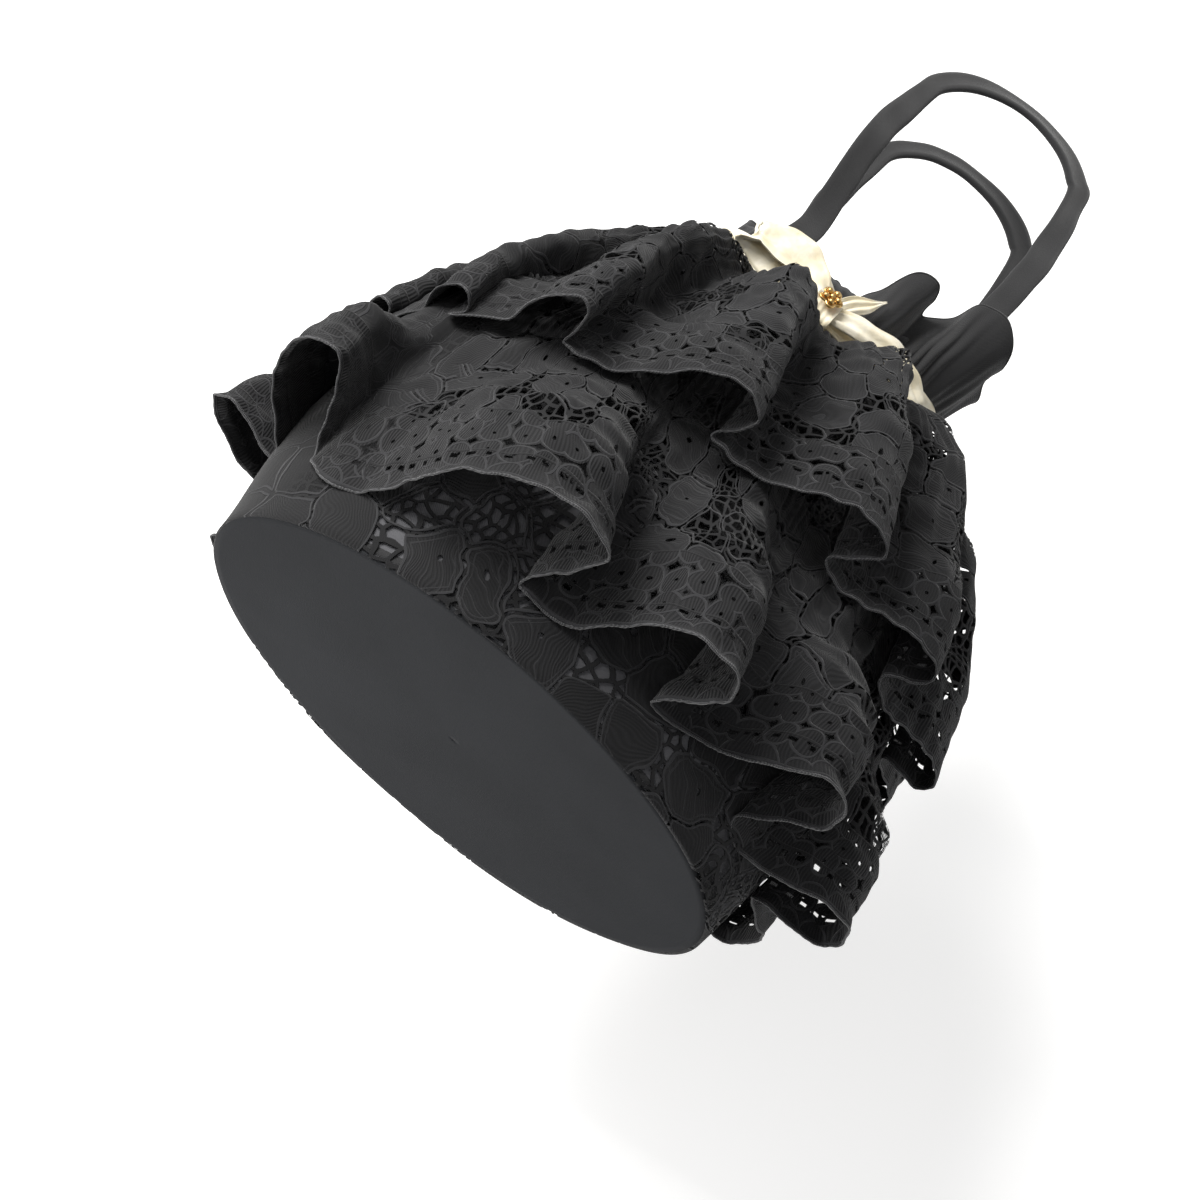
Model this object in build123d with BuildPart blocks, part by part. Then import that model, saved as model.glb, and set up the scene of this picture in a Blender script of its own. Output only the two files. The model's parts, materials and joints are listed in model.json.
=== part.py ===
"""Ruffled lace handbag: stiff oval base, gathered lace body, two lace flounces, ribbon neck, frilled mouth, two handles.

Millimetres. The origin is the centre of the underside of the base, +Z runs up through the neck, X lies along the
oval's long axis, and the bow is at the front, at -Y.
"""

import os
from math import sqrt

from build123d import *

os.makedirs("parts", exist_ok=True)

# Body wall: oval levels from the base to the mouth
BASE_LENGTH = 250.0
BASE_WIDTH = 155.0
BELLY_SWELL = 12.0
BELLY_HEIGHT = 80.0
SEAM_SWELL = 1.0
LOWER_SEAM_HEIGHT = 168.0
SHOULDER_LENGTH = 190.0
SHOULDER_WIDTH = 116.0
SHOULDER_DROP = 58.0
NECK_LENGTH = 140.0
NECK_WIDTH = 62.0
NECK_HEIGHT = 290.0
MOUTH_LENGTH = 160.0
MOUTH_WIDTH = 84.0
FRILL_HEIGHT = 44.0

# Cloth, board and tape
LACE_THICKNESS = 0.9
BACKING_THICKNESS = 0.8
LINING_THICKNESS = 0.8
FRILL_THICKNESS = 1.2
FACING_THICKNESS = 1.2
FACING_DEPTH = 28.0
CLOTH_GAP = 0.2
BASE_COVER_THICKNESS = 1.2
BOARD_THICKNESS = 2.5
TAPE_THICKNESS = 1.0
TAPE_WIDTH = 10.0

# Spacing of the ovals that the wall and the flounces are drawn through
RING_STEP = 14.0

# Flounces
LOWER_HEM_HEIGHT = 12.0
LOWER_HEM_STAND = 33.0
LOWER_BULGE_STAND = 27.0
UPPER_HEM_HEIGHT = 105.0
LOWER_MID_STAND = 13.0
UPPER_FOLD_DEPTH = 12.0
UPPER_SEAM_STAND = 31.0
UPPER_PUFF_STAND = 34.0
FLOUNCE_TOP_STAND = 3.4
FLOUNCE_GAP = 3.0

# Ribbon, bow and ornament
RIBBON_WIDTH = 22.0
RIBBON_THICKNESS = 1.2
BOW_GAP = 0.3
BOW_STAND = 3.4
KNOT_WIDTH = 14.0
KNOT_HEIGHT = 20.0
KNOT_DEPTH = 12.0
KNOT_ROUND = 3.5
LOOP_DEPTH = 8.0
LEFT_LOOP_LENGTH = 44.0
LEFT_LOOP_HEIGHT = 30.0
LEFT_LOOP_RISE = 9.0
RIGHT_LOOP_LENGTH = 52.0
RIGHT_LOOP_HEIGHT = 19.0
RIGHT_LOOP_DROP = 2.0
TAIL_LENGTH = 26.0
TAIL_WIDTH = 6.0
TAIL_THICKNESS = 1.2
TAIL_INNER_EDGE = 1.5
TAIL_LEAN = 13.0
TAIL_SLANT = 6.0
ORNAMENT_RADIUS = 6.0
ORNAMENT_THICKNESS = 1.4
ORNAMENT_EDGE_ROUND = 0.45
BEAD_RADIUS = 1.5
BEAD_COUNT = 5
BEAD_INSET = 2.1

# Handles
HANDLE_SPACING = 102.0
HANDLE_WIDTH = 15.0
HANDLE_THICKNESS = 5.0
HANDLE_LEG = 116.0
HANDLE_EDGE_ROUND = 1.6
CORE_WIDTH = 10.0
CORE_THICKNESS = 2.0
CORE_CLEARANCE = 0.2
HANDLE_END_THICKNESS = 1.6
HANDLE_END_LENGTH = 25.5
HANDLE_RISE_OVER_FRILL = 6.0
FLEX_GAP = 0.3

# Heights that follow
neck_low = NECK_HEIGHT - RIBBON_WIDTH / 2
neck_high = NECK_HEIGHT + RIBBON_WIDTH / 2
mouth_height = neck_high + FRILL_HEIGHT
shoulder_height = NECK_HEIGHT - SHOULDER_DROP
hinge_height = mouth_height + HANDLE_RISE_OVER_FRILL
facing_low = mouth_height - FACING_DEPTH
belly_length = BASE_LENGTH + 2 * BELLY_SWELL
belly_width = BASE_WIDTH + 2 * BELLY_SWELL
seam_length = BASE_LENGTH + 2 * SEAM_SWELL
seam_width = BASE_WIDTH + 2 * SEAM_SWELL

# Depths of the layers, counted inwards from the outside of the lace
backing_outside = LACE_THICKNESS + CLOTH_GAP
backing_inside = backing_outside + BACKING_THICKNESS
lining_outside = backing_inside + CLOTH_GAP
lining_inside = lining_outside + LINING_THICKNESS
seam_tape_inside = lining_outside + TAPE_THICKNESS
facing_inside = lining_outside + FACING_THICKNESS
handle_end_outside = facing_inside + CLOTH_GAP
handle_end_inside = handle_end_outside + HANDLE_END_THICKNESS

BODY_LEVELS = (
    (0.0, BASE_LENGTH, BASE_WIDTH),
    (BELLY_HEIGHT, belly_length, belly_width),
    (LOWER_SEAM_HEIGHT, seam_length, seam_width),
    (shoulder_height, SHOULDER_LENGTH, SHOULDER_WIDTH),
    (neck_low, NECK_LENGTH, NECK_WIDTH),
    (neck_high, NECK_LENGTH, NECK_WIDTH),
    (hinge_height, MOUTH_LENGTH, MOUTH_WIDTH),
)

lower_hem_length = belly_length + 2 * LOWER_HEM_STAND
lower_hem_width = belly_width + 2 * LOWER_HEM_STAND
LOWER_FLOUNCE_LEVELS = (
    (LOWER_HEM_HEIGHT, lower_hem_length, lower_hem_width),
    (
        (LOWER_HEM_HEIGHT + UPPER_HEM_HEIGHT) / 2,
        belly_length + 2 * LOWER_BULGE_STAND,
        belly_width + 2 * LOWER_BULGE_STAND,
    ),
    (UPPER_HEM_HEIGHT, belly_length + 2 * LOWER_MID_STAND, belly_width + 2 * LOWER_MID_STAND),
    (LOWER_SEAM_HEIGHT, seam_length + 2 * FLOUNCE_TOP_STAND, seam_width + 2 * FLOUNCE_TOP_STAND),
)

upper_top = neck_low - CLOTH_GAP
upper_hem_stand = LOWER_MID_STAND + FLOUNCE_GAP + UPPER_FOLD_DEPTH
UPPER_FLOUNCE_LEVELS = (
    (UPPER_HEM_HEIGHT, belly_length + 2 * upper_hem_stand, belly_width + 2 * upper_hem_stand),
    (LOWER_SEAM_HEIGHT, seam_length + 2 * UPPER_SEAM_STAND, seam_width + 2 * UPPER_SEAM_STAND),
    (shoulder_height, SHOULDER_LENGTH + 2 * UPPER_PUFF_STAND, SHOULDER_WIDTH + 2 * UPPER_PUFF_STAND),
    (upper_top, NECK_LENGTH + 2 * FLOUNCE_TOP_STAND, NECK_WIDTH + 2 * FLOUNCE_TOP_STAND),
)

REACH = 2 * (lower_hem_length + lower_hem_width)


def slope(levels, index, axis):
    """Slope of an oval's length (axis 1) or width (axis 2) at a level; zero where the size turns back."""
    here = levels[index]
    before = levels[max(index - 1, 0)]
    after = levels[min(index + 1, len(levels) - 1)]
    if before is here:
        return (after[axis] - here[axis]) / (after[0] - here[0])
    if after is here:
        return (here[axis] - before[axis]) / (here[0] - before[0])
    rise = (here[axis] - before[axis]) / (here[0] - before[0])
    fall = (after[axis] - here[axis]) / (after[0] - here[0])
    return 2 * rise * fall / (rise + fall) if rise * fall > 0 else 0.0


def size_between(levels, index, share, axis):
    """Length or width at a share of the way from one level to the next, along a smooth curve."""
    low = levels[index]
    high = levels[index + 1]
    step = high[0] - low[0]
    rest = 1 - share
    start = (1 + 2 * share) * rest**2 * low[axis] + share * rest**2 * step * slope(levels, index, axis)
    end = (3 - 2 * share) * share**2 * high[axis] - rest * share**2 * step * slope(levels, index + 1, axis)
    return start + end


def oval_rings(levels):
    """The levels with evenly spaced ovals added between them, no further apart than RING_STEP."""
    rings = [levels[0]]
    for index in range(len(levels) - 1):
        low = levels[index][0]
        step = levels[index + 1][0] - low
        count = max(1, round(step / RING_STEP))
        for turn in range(1, count + 1):
            share = turn / count
            length = size_between(levels, index, share, 1)
            width = size_between(levels, index, share, 2)
            rings.append((low + share * step, length, width))
    return rings


def oval_solid(levels, grow):
    """Solid through oval levels (height, length, width), each moved outwards by grow."""
    with BuildPart() as solid:
        for height, length, width in oval_rings(levels):
            with BuildSketch(Plane.XY.offset(height)):
                Ellipse(length / 2 + grow, width / 2 + grow)
        loft(ruled=True)
    return solid.part


def keep_between(low, high):
    """Cuts the part being built down to the slab between two heights."""
    with Locations((0, 0, (low + high) / 2)):
        Box(REACH, REACH, high - low, mode=Mode.INTERSECT)


def body_skin(outside, inside, low, high):
    """A layer of the body wall between two depths and two heights."""
    with BuildPart() as skin:
        add(oval_solid(BODY_LEVELS, -outside))
        add(oval_solid(BODY_LEVELS, -inside), mode=Mode.SUBTRACT)
        keep_between(low, high)
    return skin.part


def save(piece, name):
    """Labels a finished piece and writes it to its STEP file."""
    piece.part.label = name
    export_step(piece.part, f"parts/{name}.step")


# Base: outer cover, stiff board, binding of the inner seam, and the cloth floor
board_inset = seam_tape_inside + CLOTH_GAP
floor_low = BASE_COVER_THICKNESS + BOARD_THICKNESS + CLOTH_GAP

with BuildPart() as base_cover:
    with BuildSketch():
        Ellipse(BASE_LENGTH / 2, BASE_WIDTH / 2)
    extrude(amount=BASE_COVER_THICKNESS)
save(base_cover, "base_cover")

with BuildPart() as base_board:
    with BuildSketch(Plane.XY.offset(BASE_COVER_THICKNESS)):
        Ellipse(BASE_LENGTH / 2 - board_inset, BASE_WIDTH / 2 - board_inset)
    extrude(amount=BOARD_THICKNESS)
save(base_board, "base_board")

with BuildPart() as lining_floor:
    with BuildSketch(Plane.XY.offset(floor_low)):
        Ellipse(BASE_LENGTH / 2 - board_inset, BASE_WIDTH / 2 - board_inset)
    extrude(amount=LINING_THICKNESS)
save(lining_floor, "lining_floor")

seam_tape_top = BASE_COVER_THICKNESS + TAPE_WIDTH

with BuildPart() as base_seam_tape:
    add(body_skin(lining_outside, seam_tape_inside, BASE_COVER_THICKNESS, seam_tape_top))
save(base_seam_tape, "base_seam_tape")

# Body wall: lace over its charcoal backing, and the lining inside
with BuildPart() as body_lace:
    add(body_skin(0, LACE_THICKNESS, BASE_COVER_THICKNESS, NECK_HEIGHT))
save(body_lace, "body_lace")

with BuildPart() as body_backing:
    add(body_skin(backing_outside, backing_inside, BASE_COVER_THICKNESS, NECK_HEIGHT))
save(body_backing, "body_backing")

with BuildPart() as body_lining:
    add(body_skin(lining_outside, lining_inside, seam_tape_top + CLOTH_GAP, facing_low - CLOTH_GAP))
save(body_lining, "body_lining")

# Mouth: plain frill above the ribbon and the facing inside it
with BuildPart() as mouth_frill:
    add(body_skin(0, FRILL_THICKNESS, NECK_HEIGHT + CLOTH_GAP, mouth_height))
save(mouth_frill, "mouth_frill")

with BuildPart() as mouth_facing:
    add(body_skin(lining_outside, facing_inside, facing_low, mouth_height))
save(mouth_facing, "mouth_facing")

# Flounces, each a closed ring of its outer shape, and the tapes that hold their gathers
tape_outside = CLOTH_GAP + TAPE_THICKNESS
flounce_inside = tape_outside + CLOTH_GAP

with BuildPart() as lower_gather_tape:
    add(body_skin(-tape_outside, -CLOTH_GAP, LOWER_SEAM_HEIGHT - TAPE_WIDTH, LOWER_SEAM_HEIGHT))
save(lower_gather_tape, "lower_gather_tape")

with BuildPart() as lower_ruffle:
    add(oval_solid(LOWER_FLOUNCE_LEVELS, 0))
    add(oval_solid(BODY_LEVELS, flounce_inside), mode=Mode.SUBTRACT)
save(lower_ruffle, "lower_ruffle")

with BuildPart() as upper_gather_tape:
    add(body_skin(-tape_outside, -CLOTH_GAP, upper_top - TAPE_WIDTH, upper_top))
save(upper_gather_tape, "upper_gather_tape")

with BuildPart() as upper_ruffle:
    add(oval_solid(UPPER_FLOUNCE_LEVELS, 0))
    add(oval_solid(BODY_LEVELS, flounce_inside), mode=Mode.SUBTRACT)
    add(oval_solid(LOWER_FLOUNCE_LEVELS, FLOUNCE_GAP), mode=Mode.SUBTRACT)
save(upper_ruffle, "upper_ruffle")

# Ribbon round the neck
ribbon_outside = CLOTH_GAP + RIBBON_THICKNESS

with BuildPart() as neck_ribbon:
    add(body_skin(-ribbon_outside, -CLOTH_GAP, neck_low, neck_high))
save(neck_ribbon, "neck_ribbon")

# Bow: knot, two loops and two cut tails, in front of the ribbon
bow_back = NECK_WIDTH / 2 + ribbon_outside + BOW_STAND
loop_start = KNOT_WIDTH / 2 + BOW_GAP
tail_back = bow_back + LOOP_DEPTH + BOW_GAP
knot_plane = Plane.XZ.offset(NECK_WIDTH / 2 + ribbon_outside + BOW_GAP)
knot_front = NECK_WIDTH / 2 + ribbon_outside + BOW_GAP + KNOT_DEPTH

with BuildPart() as bow_knot:
    with BuildSketch(knot_plane):
        with Locations((0, NECK_HEIGHT)):
            RectangleRounded(KNOT_WIDTH, KNOT_HEIGHT, KNOT_ROUND)
    extrude(amount=KNOT_DEPTH)
save(bow_knot, "bow_knot")


def bow_loop(side, length, height, rise):
    """A flattened loop reaching sideways from the knot, BOW_GAP away from it."""
    with BuildPart() as loop:
        with BuildSketch(Plane.XZ.offset(bow_back)):
            with Locations((side * (loop_start + length / 2), NECK_HEIGHT + rise)):
                Ellipse(length / 2, height / 2)
        extrude(amount=LOOP_DEPTH)
    return loop.part


with BuildPart() as bow_loop_left:
    add(bow_loop(-1, LEFT_LOOP_LENGTH, LEFT_LOOP_HEIGHT, LEFT_LOOP_RISE))
save(bow_loop_left, "bow_loop_left")

with BuildPart() as bow_loop_right:
    add(bow_loop(1, RIGHT_LOOP_LENGTH, RIGHT_LOOP_HEIGHT, -RIGHT_LOOP_DROP))
save(bow_loop_right, "bow_loop_right")


def bow_tail(side):
    """A short tail that rises from the top of the knot and leans outwards, its end cut on the slant."""
    foot_height = NECK_HEIGHT + KNOT_HEIGHT / 2 + BOW_GAP
    inner = side * TAIL_INNER_EDGE
    outer = side * (TAIL_INNER_EDGE + TAIL_WIDTH)
    lean = side * TAIL_LEAN
    with BuildPart() as tail:
        with BuildSketch(Plane.XZ.offset(tail_back)):
            with BuildLine():
                Polyline(
                    (inner, foot_height),
                    (outer, foot_height),
                    (outer + lean, foot_height + TAIL_LENGTH),
                    (inner + lean, foot_height + TAIL_LENGTH - TAIL_SLANT),
                    close=True,
                )
            make_face()
        extrude(amount=TAIL_THICKNESS)
    return tail.part


with BuildPart() as bow_tail_left:
    add(bow_tail(-1))
save(bow_tail_left, "bow_tail_left")

with BuildPart() as bow_tail_right:
    add(bow_tail(1))
save(bow_tail_right, "bow_tail_right")

# Ornament on the knot: a round setting with a ring of beads
with BuildPart() as ornament_setting:
    with BuildSketch(Plane.XZ.offset(knot_front)):
        with Locations((0, NECK_HEIGHT)):
            Circle(ORNAMENT_RADIUS)
    extrude(amount=ORNAMENT_THICKNESS)
    fillet(ornament_setting.faces().sort_by(Axis.Y)[0].edges(), ORNAMENT_EDGE_ROUND)
save(ornament_setting, "ornament_setting")

bead_plane = Plane.XZ.offset(knot_front + ORNAMENT_THICKNESS + BEAD_RADIUS)
bead_ring = ORNAMENT_RADIUS - BEAD_INSET

with BuildPart() as ornament_beads:
    with Locations(bead_plane.location * Location((0, NECK_HEIGHT, 0))):
        Sphere(BEAD_RADIUS)
        with PolarLocations(bead_ring, BEAD_COUNT):
            Sphere(BEAD_RADIUS)
save(ornament_beads, "ornament_beads")

# Handle ends: strap ends sewn flat against the facing, inside the mouth
leg_x = HANDLE_SPACING / 2
handle_end_low = mouth_height - HANDLE_END_LENGTH


def handle_end(side, front):
    """One sewn strap end; side is -1 for left and 1 for right, front is -1 for the front and 1 for the back."""
    with BuildPart() as end:
        add(body_skin(handle_end_outside, handle_end_inside, handle_end_low, mouth_height))
        with Locations((side * leg_x, front * MOUTH_WIDTH / 2, mouth_height)):
            Box(HANDLE_WIDTH, MOUTH_WIDTH, 2 * HANDLE_END_LENGTH, mode=Mode.INTERSECT)
    return end


save(handle_end(-1, -1), "handle_end_front_left")
save(handle_end(1, -1), "handle_end_front_right")
save(handle_end(-1, 1), "handle_end_back_left")
save(handle_end(1, 1), "handle_end_back_right")

# Handles: two arched straps standing over the mouth, each with a webbing core
end_depth = (handle_end_outside + handle_end_inside) / 2
mouth_share = leg_x / (MOUTH_LENGTH / 2 - end_depth)
handle_y = (MOUTH_WIDTH / 2 - end_depth) * sqrt(1 - mouth_share**2)
leg_low = hinge_height + FLEX_GAP
arch_height = leg_low + HANDLE_LEG


def arch_strap(front, width, thickness):
    """An arched strap of the given width and thickness: two upright legs joined by a half ring."""
    with BuildPart() as strap:
        with BuildSketch(Plane.XZ.offset(-front * handle_y)):
            with Locations((0, arch_height)):
                Circle(leg_x + width / 2)
                Circle(leg_x - width / 2, mode=Mode.SUBTRACT)
            with Locations((0, arch_height - leg_x)):
                Rectangle(4 * leg_x, 2 * leg_x, mode=Mode.SUBTRACT)
            with Locations((-leg_x, arch_height), (leg_x, arch_height)):
                Rectangle(width, HANDLE_LEG, align=(Align.CENTER, Align.MAX))
        extrude(amount=thickness / 2, both=True)
    return strap


def handle(front):
    """A handle's cloth cover, hollow along its length for the core."""
    cover = arch_strap(front, HANDLE_WIDTH, HANDLE_THICKNESS)
    core_room = arch_strap(front, CORE_WIDTH + 2 * CORE_CLEARANCE, CORE_THICKNESS + 2 * CORE_CLEARANCE)
    with BuildPart() as hollow:
        add(cover.part)
        fillet(hollow.edges().filter_by(GeomType.CIRCLE), HANDLE_EDGE_ROUND)
        add(core_room.part, mode=Mode.SUBTRACT)
    return hollow


save(handle(-1), "front_handle")
save(handle(1), "back_handle")
save(arch_strap(-1, CORE_WIDTH, CORE_THICKNESS), "front_handle_core")
save(arch_strap(1, CORE_WIDTH, CORE_THICKNESS), "back_handle_core")
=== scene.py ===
"""Looks of the ruffled lace handbag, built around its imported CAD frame.

Metres, +Z up, the bow at the front (-Y).
"""

import json
from math import cos, pi, radians, sin, sqrt

import bpy
import numpy as np
from mathutils import Matrix, Vector

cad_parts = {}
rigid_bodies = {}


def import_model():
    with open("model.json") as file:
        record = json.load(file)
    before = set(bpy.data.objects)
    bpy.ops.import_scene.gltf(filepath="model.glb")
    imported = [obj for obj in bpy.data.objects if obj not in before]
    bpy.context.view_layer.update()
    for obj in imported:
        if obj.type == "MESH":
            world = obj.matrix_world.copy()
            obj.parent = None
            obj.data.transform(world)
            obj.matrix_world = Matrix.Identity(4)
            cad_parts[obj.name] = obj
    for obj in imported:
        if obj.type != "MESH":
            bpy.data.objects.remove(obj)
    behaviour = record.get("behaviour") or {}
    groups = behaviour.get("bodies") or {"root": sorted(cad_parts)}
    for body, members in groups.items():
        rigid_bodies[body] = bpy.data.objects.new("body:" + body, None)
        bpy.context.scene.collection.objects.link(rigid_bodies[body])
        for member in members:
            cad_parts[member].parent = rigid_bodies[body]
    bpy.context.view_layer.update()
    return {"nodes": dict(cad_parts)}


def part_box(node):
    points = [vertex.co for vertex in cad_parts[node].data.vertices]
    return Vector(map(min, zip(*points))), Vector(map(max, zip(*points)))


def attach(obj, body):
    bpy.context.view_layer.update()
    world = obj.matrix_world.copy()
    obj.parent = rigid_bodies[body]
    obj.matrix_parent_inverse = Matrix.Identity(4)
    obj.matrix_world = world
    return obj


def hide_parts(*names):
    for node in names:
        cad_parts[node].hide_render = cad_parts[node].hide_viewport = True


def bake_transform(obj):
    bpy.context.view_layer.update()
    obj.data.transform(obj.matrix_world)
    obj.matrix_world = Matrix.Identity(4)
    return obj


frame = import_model()
MM = 0.001
TURN = 2 * pi

# How the soft upper part has settled
MOUTH_LEAN = 8 * MM
END_LIFT = 13 * MM
FRONT_DROP = 6 * MM

# A ring of a CAD skin has at least this many points
FULL_RING = 140


# ---------------------------------------------------------------- sizes read from the frame
def oval_profile(node, flares=False):
    """Half length and half width of a CAD skin at a height, read from its full rings of points.

    A flaring skin only gets wider downwards, so its inner rings are passed over.
    """
    points = np.array([v.co for v in frame["nodes"][node].data.vertices])
    rows = []
    for height in np.unique(np.round(points[:, 2], 4)):
        ring = points[abs(points[:, 2] - height) < 0.2 * MM]
        if len(ring) > FULL_RING and (not rows or height - rows[-1][0] > 4 * MM):
            rows.append((height, ring[:, 0].max(), ring[:, 1].max()))
    heights, lengths, widths = np.array(rows).T
    if flares:
        lengths = np.maximum.accumulate(lengths[::-1])[::-1]
        widths = np.maximum.accumulate(widths[::-1])[::-1]

    def size(height):
        return np.interp(height, heights, lengths), np.interp(height, heights, widths)

    return size


body_size = oval_profile("body_lace")
frill_size = oval_profile("mouth_frill")
lower_size = oval_profile("lower_ruffle", True)
upper_size = oval_profile("upper_ruffle", True)
base_low, base_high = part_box("base_cover")
ribbon_low, ribbon_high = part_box("neck_ribbon")
_, frill_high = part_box("mouth_frill")
knot_low, knot_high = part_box("bow_knot")
lower_low, lower_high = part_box("lower_ruffle")
upper_low, upper_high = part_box("upper_ruffle")
neck_height = (ribbon_low.z + ribbon_high.z) / 2
mouth_height = frill_high.z


# ---------------------------------------------------------------- mesh helpers
def wander(count, seed, waves, closed=True):
    """A smooth random line of count values, about -1 to 1, with the given number of waves along it."""
    random = np.random.default_rng(seed)
    along = np.linspace(0, 1, count, endpoint=not closed)
    line = np.zeros(count)
    for wave in range(1, waves + 1):
        size = random.normal() / sqrt(waves)
        line += size * np.sin(TURN * (wave * along + random.random()))
    return line


def ripple(points, seed, size, height):
    """Moves points by a smooth random amount in each axis: bumps of the given size and height."""
    random = np.random.default_rng(seed)
    moved = points.copy()
    for _ in range(10):
        way = random.normal(size=3)
        way /= np.linalg.norm(way)
        push = random.normal(size=3)
        push /= np.linalg.norm(push)
        pitch = size * (0.7 + 0.9 * random.random())
        wave = np.sin(points @ way * TURN / pitch + TURN * random.random())
        moved += wave[..., None] * push * height / sqrt(10)
    return moved


def grid_mesh(name, points, material, closed=True, uv=None, thickness=0.0, offset=0.0):
    """A mesh from points[row, column, xyz]; uv[row, column] is in metres of flat cloth.

    offset is where the cloth's thickness lies: -1 behind its face, 0 on both sides of it.
    """
    rows, columns = points.shape[:2]
    last = columns if closed else columns - 1
    faces = []
    corners = []
    for row in range(rows - 1):
        for column in range(last):
            after = (column + 1) % columns
            faces.append((row * columns + column, row * columns + after,
                          (row + 1) * columns + after, (row + 1) * columns + column))
            corners.append((row, column))
    mesh = bpy.data.meshes.new(name)
    mesh.from_pydata(points.reshape(-1, 3).tolist(), [], faces)
    mesh.polygons.foreach_set("use_smooth", [True] * len(faces))
    if uv is not None:
        layer = mesh.uv_layers.new(name="Cloth")
        at = np.array(corners)
        square = np.empty((len(faces), 4, 2), np.float32)
        square[:, 0] = uv[at[:, 0], at[:, 1]]
        square[:, 1] = uv[at[:, 0], at[:, 1] + 1]
        square[:, 2] = uv[at[:, 0] + 1, at[:, 1] + 1]
        square[:, 3] = uv[at[:, 0] + 1, at[:, 1]]
        layer.data.foreach_set("uv", square.ravel())
    mesh.materials.append(material)
    piece = bpy.data.objects.new(name, mesh)
    bpy.context.scene.collection.objects.link(piece)
    if thickness:
        solid = piece.modifiers.new("Cloth thickness", "SOLIDIFY")
        solid.thickness = thickness
        solid.offset = offset
        solid.use_even_offset = False
    apply_modifiers(piece)
    return piece


def apply_modifiers(piece):
    """Turns a piece's modifiers into mesh."""
    graph = bpy.context.evaluated_depsgraph_get()
    mesh = bpy.data.meshes.new_from_object(piece.evaluated_get(graph))
    piece.modifiers.clear()
    piece.data = mesh


def cloth_uv(points, closed=True):
    """Flat-cloth coordinates of a grid: lengths along the last row (the hem) and down the columns."""
    loop = np.concatenate([points, points[:, :1]], axis=1) if closed else points
    along = np.linalg.norm(np.diff(loop[-1], axis=0), axis=1)
    along = np.concatenate([[0], np.cumsum(along)])
    down = np.linalg.norm(np.diff(points, axis=0), axis=2).mean(axis=1)
    down = np.concatenate([[0], np.cumsum(down)])
    uv = np.empty(loop.shape[:2] + (2,), np.float32)
    uv[..., 0] = along[None, :]
    uv[..., 1] = (down[-1] - down)[:, None]
    return uv


def frames_along(path, closed):
    """Unit tangents of a path of points."""
    if closed:
        tangents = np.roll(path, -1, axis=0) - np.roll(path, 1, axis=0)
    else:
        tangents = np.gradient(path, axis=0)
    return tangents / np.linalg.norm(tangents, axis=1)[:, None]


def tube_mesh(name, path, radius, material, closed=True, sides=8):
    """A round tube along a path; radius is one number or one for each point."""
    tangents = frames_along(path, closed)
    side = np.cross(tangents, (0.0, 0.0, 1.0))
    side[np.linalg.norm(side, axis=1) < 1e-6] = (1.0, 0.0, 0.0)
    side /= np.linalg.norm(side, axis=1)[:, None]
    rise = np.cross(side, tangents)
    turn = np.linspace(0, TURN, sides, endpoint=False)
    size = np.broadcast_to(radius, len(path))[:, None, None]
    ring = np.cos(turn)[None, :, None] * side[:, None] + np.sin(turn)[None, :, None] * rise[:, None]
    points = path[:, None] + ring * size
    if closed:
        points = np.concatenate([points, points[:1]], axis=0)
    return grid_mesh(name, points, material, closed=True)


def oval_ring(half_length, half_width, angles):
    """Points and outward normals of an oval in plan."""
    place = np.stack([half_length * np.cos(angles), half_width * np.sin(angles)], -1)
    normal = np.stack([np.cos(angles) / half_length, np.sin(angles) / half_width], -1)
    return place, normal / np.linalg.norm(normal, axis=-1)[..., None]


def even_angles(half_length, half_width, count):
    """Angles that cut an oval into equal lengths, anticlockwise from the back centre."""
    return turn_at(np.arange(count) / count, half_length, half_width)


def oval_length(half_length, half_width):
    """Perimeter of an oval."""
    inner = sqrt((3 * half_length + half_width) * (half_length + 3 * half_width))
    return pi * (3 * (half_length + half_width) - inner)


def turn_at(shares, half_length, half_width):
    """Angles at shares of the perimeter, anticlockwise from the back centre."""
    fine = np.linspace(0, TURN, 1441)
    place, _ = oval_ring(half_length, half_width, pi / 2 + fine)
    along = np.concatenate([[0], np.cumsum(np.linalg.norm(np.diff(place, axis=0), axis=1))])
    whole = np.floor(shares)
    return pi / 2 + TURN * whole + np.interp(shares - whole, along / along[-1], fine)


def smooth_step(value, low, high):
    """0 below low, 1 above high and a smooth rise between them."""
    share = np.clip((value - low) / (high - low), 0, 1)
    return share * share * (3 - 2 * share)


def settle(points):
    """Leans the soft mouth to +X and lifts the ends of the neck, as the standing cloth has settled."""
    moved = points.copy()
    height = points[..., 2]
    mouth = smooth_step(height, neck_height, mouth_height)
    neck = smooth_step(height, neck_height - 60 * MM, neck_height) * (1 - 0.6 * mouth)
    end = np.minimum(1, (points[..., 0] / (70 * MM)) ** 2)
    moved[..., 2] += neck * (END_LIFT * end - FRONT_DROP * (1 - end))
    moved[..., 0] += MOUTH_LEAN * mouth
    return moved


def join(name, pieces):
    """Joins pieces into one object."""
    for other in bpy.context.view_layer.objects:
        other.select_set(False)
    for piece in pieces:
        piece.select_set(True)
    bpy.context.view_layer.objects.active = pieces[0]
    bpy.ops.object.join()
    pieces[0].name = name
    pieces[0].data.name = name
    return pieces[0]


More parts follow.
